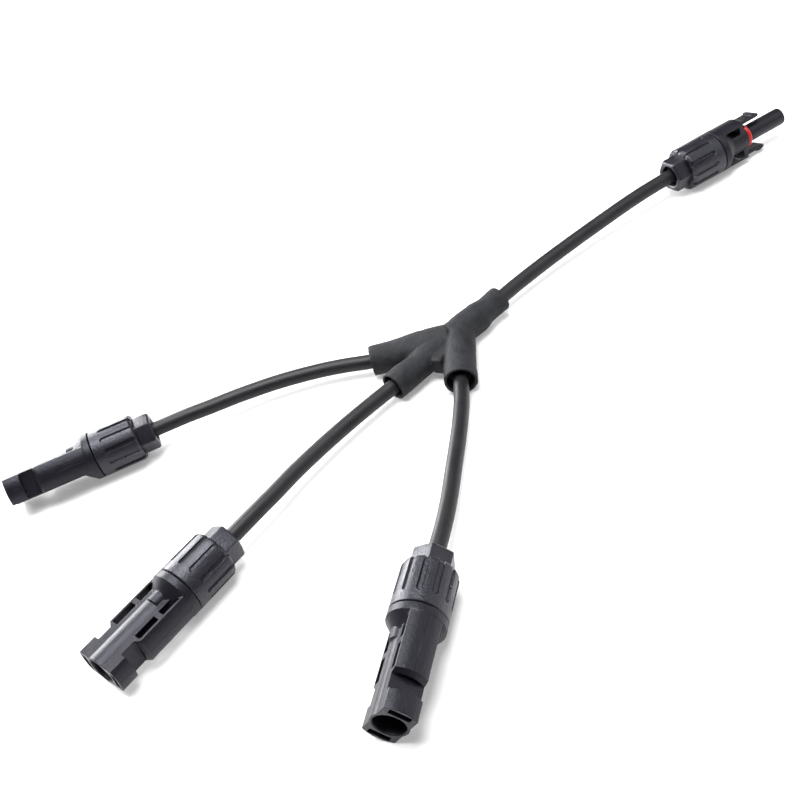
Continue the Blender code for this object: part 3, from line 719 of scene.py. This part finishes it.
def boot_bore(name):
    _, _, length, _, mouth_r = BOOT_ARMS[name]
    narrow = CABLE_R + CABLE_GAP
    wide = mouth_r - MOUTH_WALL
    return along_arm(name, turned("arm_bore", [
        (length - MOUTH_DEPTH - 10.0, narrow), (length - MOUTH_DEPTH - 1.5, narrow),
        (length - MOUTH_DEPTH, wide), (length - 0.3, wide), (length + 0.7, wide + 0.5)], 64))


def web(side):
    """Thin web in the crotch between the middle arm and a side arm."""
    reach_middle, reach_side = WEBS[side]
    points = [arm_point("middle", 0.0), arm_point("middle", reach_middle),
              arm_point(side, reach_side)]
    outline = [(point.x, point.y) for point in points]
    return prism("web", outline, BOOT_HEIGHT - WEB_HALF, BOOT_HEIGHT + WEB_HALF, axis="Z")


def tab_mesh():
    """Flat-ended moulding tab between the middle arm and the right one."""
    mesh = box("tab", (0.0, -TAB_WIDTH / 2, TAB_Z[0]), (TAB_LENGTH, TAB_WIDTH / 2, TAB_Z[1]))
    mesh.transform(Matrix.Translation((*TAB_ROOT, 0.0))
                   @ Matrix.Rotation(math.radians(TAB_HEADING), 4, "Z"))
    return mesh


def dented(mesh, depth):
    """Moves each point along its normal by smooth noise, for a skin that isn't quite even."""
    for vertex, normal in zip(mesh.vertices, [v.normal.copy() for v in mesh.vertices]):
        broad = noise.noise(vertex.co * BROAD_DENTS)
        fine = noise.noise(vertex.co * FINE_DENTS + Vector((7.0, 0.0, 3.0)))
        vertex.co += normal * depth * (0.75 * broad + 0.35 * fine)
    return mesh


def boot_mesh():
    parts = [boot_arm(name) for name in BOOT_ARMS] + [web(side) for side in WEBS] + [tab_mesh()]
    body = moulded("boot", joined("boot", parts), BOOT_VOXEL, 6, 1.0)
    body = dented(body, DENT_DEPTH)
    body = carved("boot", body, [("DIFFERENCE", boot_bore(name)) for name in BOOT_ARMS])
    return moulded("boot", body, BOOT_VOXEL * 0.8, 3)


# ====================================================================== cables
def smooth_curve(points, samples=12):
    """Centripetal Catmull-Rom curve through the points."""
    path = [points[0] * 2 - points[1]] + list(points) + [points[-1] * 2 - points[-2]]
    curve = []
    for a, b, c, d in zip(path, path[1:], path[2:], path[3:]):
        knots = [0.0]
        for start, end in ((a, b), (b, c), (c, d)):
            knots.append(knots[-1] + math.sqrt((end - start).length))
        for i in range(samples):
            t = knots[1] + (knots[2] - knots[1]) * i / samples
            curve.append(spline_point((a, b, c, d), knots, t))
    curve.append(points[-1])
    return curve


def spline_point(controls, knots, t):
    """Barry and Goldman's pyramid of blends for one span of the curve."""
    spans = [[(0, 1), (1, 2), (2, 3)], [(0, 2), (1, 3)], [(1, 2)]]
    level = list(controls)
    for row in spans:
        merged = []
        for i, (low, high) in enumerate(row):
            blend = (t - knots[low]) / (knots[high] - knots[low])
            merged.append(level[i].lerp(level[i + 1], blend))
        level = merged
    return level[0]


def cable(name, label, places, mat):
    """Jacketed cable from inside the boot to inside its connector."""
    mouth = BOOT_ARMS[name][2]
    inner = JACKET_IN_BOOT[name]
    route = [arm_point(name, inner), arm_point(name, (inner + mouth) / 2), arm_point(name, mouth)]
    route += [Vector(point) for point in ROUTES[name]]
    route = [(point + CENTRE) * MM for point in route]
    route += [places[name] @ Vector((x * MM, 0.0, 0.0)) for x in (0.0, JACKET_END / 2, JACKET_END)]
    points = smooth_curve(route)
    data = bpy.data.curves.new(label, "CURVE")
    data.dimensions = "3D"
    data.bevel_depth = CABLE_R * MM
    data.bevel_resolution = 10
    data.use_fill_caps = True
    spline = data.splines.new("POLY")
    spline.points.add(len(points) - 1)
    for target, point in zip(spline.points, points):
        target.co = (*point, 1.0)
    data.materials.append(mat)
    obj = link(bpy.data.objects.new(label + "_visual", data))
    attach(obj, "harness")
    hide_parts(label)


# ====================================================================== assembly
def place_of(name, joints):
    """Matrix from a connector's own axes to the frame, from the joint that turns its nut."""
    turn = next(joint for joint in joints if joint["name"] == name + "_nut_turn")
    forward = -Vector(turn["axis"]).normalized()
    up = Vector((0.0, 0.0, 1.0))
    axes = Matrix((forward, up.cross(forward), up)).transposed().to_4x4()
    roll = Matrix.Rotation(math.radians(ROLL[name]), 4, "X")
    return Matrix.Translation(turn["pos_m"]) @ axes @ roll


def piece(name, mesh, mats, slot, body, place, *nodes):
    """Shaded piece in metres on its body, standing for some CAD nodes."""
    if not mesh.materials:
        mesh.transform(Matrix.Scale(MM, 4))
        mesh.shade_smooth()
        for mat in mats:
            mesh.materials.append(mat)
    obj = link(bpy.data.objects.new(name, mesh))
    obj.matrix_world = place
    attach(obj, body)
    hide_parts(*nodes)
    return obj


def sharpen(mesh, degrees):
    mesh.shade_smooth()
    mesh.set_sharp_from_angle(angle=math.radians(degrees))


def connectors(places, mats):
    """Cap nuts of all four connectors, and the housings and pins of the receptacles."""
    plastic = [mats["connector_plastic"]]
    nut = nut_mesh()
    receptacle = receptacle_mesh()
    pin = pin_mesh()
    for name in CONNECTORS:
        turn = Matrix.Rotation(math.radians(NUT_ANGLE[name]), 4, "X")
        piece(name + "_nut_visual", nut, [mats["nut_plastic"]], "connector_plastic",
              name + "_nut_body", places[name] @ turn, name + "_nut")
    sharpen(nut, 38)
    for name in RECEPTACLES:
        piece(name + "_housing_visual", receptacle, plastic, "connector_plastic", "harness",
              places[name], name + "_housing")
        piece(name + "_pin_visual", pin, [mats["tinned_contact"]], "tinned_contact", "harness",
              places[name], name + "_pin")
    sharpen(pin, 40)


def plug_pieces(place, mats):
    """Housing, sealing ring and the two latch arms."""
    plastic = mats["connector_plastic"]
    body = plug_mesh()
    stipple_cone(body, 1)
    piece("plug_housing_visual", body, [plastic, mats["stippled_plastic"]],
          "connector_plastic", "harness", place, "plug_housing")
    piece("plug_o_ring_visual", o_ring_mesh(), [mats["red_silicone"]], "red_silicone",
          "harness", place, "plug_o_ring")
    upper = latch_mesh()
    for side, mesh, label in ((1, upper, "latch_a"), (-1, mirrored_y(upper), "latch_b")):
        mesh.transform(Matrix.Scale(MM, 4))
        mesh.shade_smooth()
        mesh.materials.append(plastic)
        arm = link(bpy.data.objects.new("plug_" + label + "_visual", mesh))
        arm.matrix_world = place
        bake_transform(arm)
        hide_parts("plug_" + label)


def junction(mats):
    piece("junction_boot_visual", boot_mesh(), [mats["boot_rubber"]], "boot_rubber", "harness",
          Matrix.Translation(CENTRE * MM), "junction_boot")


def dress_inner_nodes(frame, mats):
    """CAD nodes that stay get the finish of the slot that the record gives them."""
    slots = {part["node"]: part["material_slot"] for part in frame["record"]["subparts"]}
    for node, obj in frame["nodes"].items():
        if obj.hide_render:
            continue
        obj.data.materials.clear()
        obj.data.materials.append(mats[slots[node]])


# ====================================================================== studio
def studio():
    paper_floor()
    bright_world()
    for light in LIGHTS:
        area_light(*light)


def paper_floor():
    """White ground that catches the shadows."""
    floor = bpy.data.meshes.new("floor")
    half = FLOOR_HALF
    floor.from_pydata([(-half, -half, 0), (half, -half, 0), (half, half, 0), (-half, half, 0)],
                      [], [(0, 1, 2, 3)])
    mat = bpy.data.materials.new("floor_paper")
    mat.use_nodes = True
    tree = mat.node_tree
    shader = tree.nodes["Principled BSDF"]
    shader.inputs["Base Color"].default_value = (FLOOR_TONE, FLOOR_TONE, FLOOR_TONE, 1.0)
    shader.inputs["Roughness"].default_value = 0.9
    shader.inputs["Specular IOR Level"].default_value = 0.0
    shader.inputs["Emission Color"].default_value = (1.0, 1.0, 1.0, 1.0)
    # the lamps reach only the middle of the paper, so it glows more further out
    place = add_node(tree, "ShaderNodeTexCoord").outputs["Object"]
    away = add_node(tree, "ShaderNodeVectorMath", {0: place}, operation="LENGTH")
    glow = add_node(tree, "ShaderNodeMapRange", {
        "Value": away.outputs["Value"], "From Min": FLOOR_LIT[0], "From Max": FLOOR_LIT[1],
        "To Min": FLOOR_GLOW, "To Max": FAR_GLOW})
    tree.links.new(glow.outputs["Result"], shader.inputs["Emission Strength"])
    floor.materials.append(mat)
    link(bpy.data.objects.new("floor", floor))


def bright_world():
    """Surroundings that are bright at the horizon, where the paper ends, and dim above."""
    world = bpy.data.worlds.new("studio")
    bpy.context.scene.world = world
    world.use_nodes = True
    background = world.node_tree.nodes["Background"]
    background.inputs["Color"].default_value = (1.0, 1.0, 1.0, 1.0)
    sky = add_node(world.node_tree, "ShaderNodeTexCoord").outputs["Generated"]
    height = add_node(world.node_tree, "ShaderNodeSeparateXYZ", {"Vector": sky})
    strength = add_node(world.node_tree, "ShaderNodeMapRange", {
        "Value": height.outputs["Z"], "From Min": HORIZON[0], "From Max": HORIZON[1],
        "To Min": FAR_GLOW, "To Max": WORLD_STRENGTH})
    world.node_tree.links.new(strength.outputs["Result"], background.inputs["Strength"])


def area_light(name, place, size, power):
    """Square soft box that faces the object."""
    light = bpy.data.lights.new(name, "AREA")
    light.shape = "SQUARE"
    light.size = size
    light.energy = power
    obj = link(bpy.data.objects.new(name, light))
    aim = -Vector(place)
    obj.matrix_world = Matrix.Translation(place) @ aim.to_track_quat("-Z", "Y").to_matrix().to_4x4()


def camera():
    data = bpy.data.cameras.new("camera")
    data.lens = CAMERA_LENS
    data.sensor_width = SENSOR
    obj = link(bpy.data.objects.new("camera", data))
    turn = Matrix.Rotation(math.radians(CAMERA_AZIMUTH), 4, "Z")
    tilt = Matrix.Rotation(math.radians(90.0 - CAMERA_ELEVATION), 4, "X")
    roll = Matrix.Rotation(math.radians(CAMERA_ROLL), 4, "Z")
    obj.matrix_world = Matrix.Translation(CAMERA_PLACE) @ turn @ tilt @ roll
    bpy.context.scene.camera = obj
    bpy.context.scene.view_settings.view_transform = "Standard"


# ====================================================================== build
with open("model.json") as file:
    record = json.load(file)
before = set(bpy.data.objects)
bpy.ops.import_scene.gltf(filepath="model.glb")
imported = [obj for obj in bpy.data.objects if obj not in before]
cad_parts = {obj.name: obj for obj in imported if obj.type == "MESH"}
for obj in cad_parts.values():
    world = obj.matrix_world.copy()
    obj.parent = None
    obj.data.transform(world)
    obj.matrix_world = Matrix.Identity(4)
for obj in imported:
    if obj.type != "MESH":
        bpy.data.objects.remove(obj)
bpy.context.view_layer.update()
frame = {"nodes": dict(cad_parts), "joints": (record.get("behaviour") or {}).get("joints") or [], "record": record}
camera()
materials = make_materials()
frames = {name: place_of(name, frame["joints"]) for name in CONNECTORS}
for name in RECEPTACLES:
    cable(name, name + "_cable", frames, materials["cable_jacket"])
cable("plug", "trunk_cable", frames, materials["cable_jacket"])
connectors(frames, materials)
plug_pieces(frames["plug"], materials)
junction(materials)
dress_inner_nodes(frame, materials)
studio()
